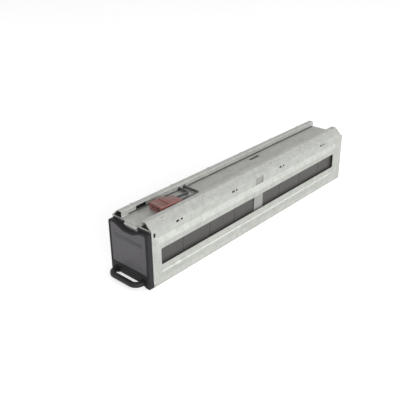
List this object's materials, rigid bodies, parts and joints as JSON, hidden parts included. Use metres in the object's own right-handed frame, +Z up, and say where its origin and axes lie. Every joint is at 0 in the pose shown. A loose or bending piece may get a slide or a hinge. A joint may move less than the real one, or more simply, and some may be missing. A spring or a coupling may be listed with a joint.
{
  "type": "ups battery cartridge",
  "caption": "Long folded-steel case of sealed batteries with side windows, top wiring rails, a two-pole connector and a black front with a pull loop.",
  "frame": {"origin": "middle of the footprint on the floor, under the feet and runners", "axes": "+X across the case to its right side seen from the front, +Y along the case from front to rear, +Z up"},
  "size_m": [0.1038, 0.6204, 0.1261],
  "materials": {
    "galvanised_case": "galvanised sheet, satin",
    "galvanised_cover": "galvanised sheet, satin",
    "bezel_plastic": "fine moulded grain",
    "handle_plastic": "fine moulded grain",
    "label_film": "satin film",
    "connector_plastic": "moulded, satin",
    "contact_metal": "tin plated",
    "battery_case": "moulded grain",
    "terminal_metal": "tin plated",
    "boot_plastic": "soft insulating sleeve",
    "wire_black": "flexible insulation",
    "divider_aluminium": "mill extrusion",
    "liner_plastic": "smooth sheet",
    "foam": "closed-cell foam",
    "screw_steel": "zinc plated"
  },
  "bodies": {
    "root": {"case_tray": "galvanised_case", "top_cover": "galvanised_cover", "cover_screws": "screw_steel", "front_bezel": "bezel_plastic", "front_label": "label_film", "pull_handle": "handle_plastic", "handle_screws": "screw_steel", "centre_divider": "divider_aluminium", "battery_liner_front": "liner_plastic", "battery_liner_rear": "liner_plastic", "top_insulator": "liner_plastic", "front_pad": "foam", "rear_pad": "foam", "battery_terminals": "terminal_metal", "terminal_boots": "boot_plastic", "connector_housing": "connector_plastic", "connector_contacts": "contact_metal", "negative_lead": "wire_black", "positive_lead": "wire_black", "battery_1": "battery_case", "battery_2": "battery_case", "battery_3": "battery_case", "battery_4": "battery_case", "battery_5": "battery_case", "battery_6": "battery_case", "battery_7": "battery_case", "battery_8": "battery_case", "series_link_1": "wire_black", "series_link_2": "wire_black", "series_link_3": "wire_black", "series_link_4": "wire_black", "series_link_5": "wire_black", "series_link_6": "wire_black", "series_link_7": "wire_black"}
  },
  "joints": []
}
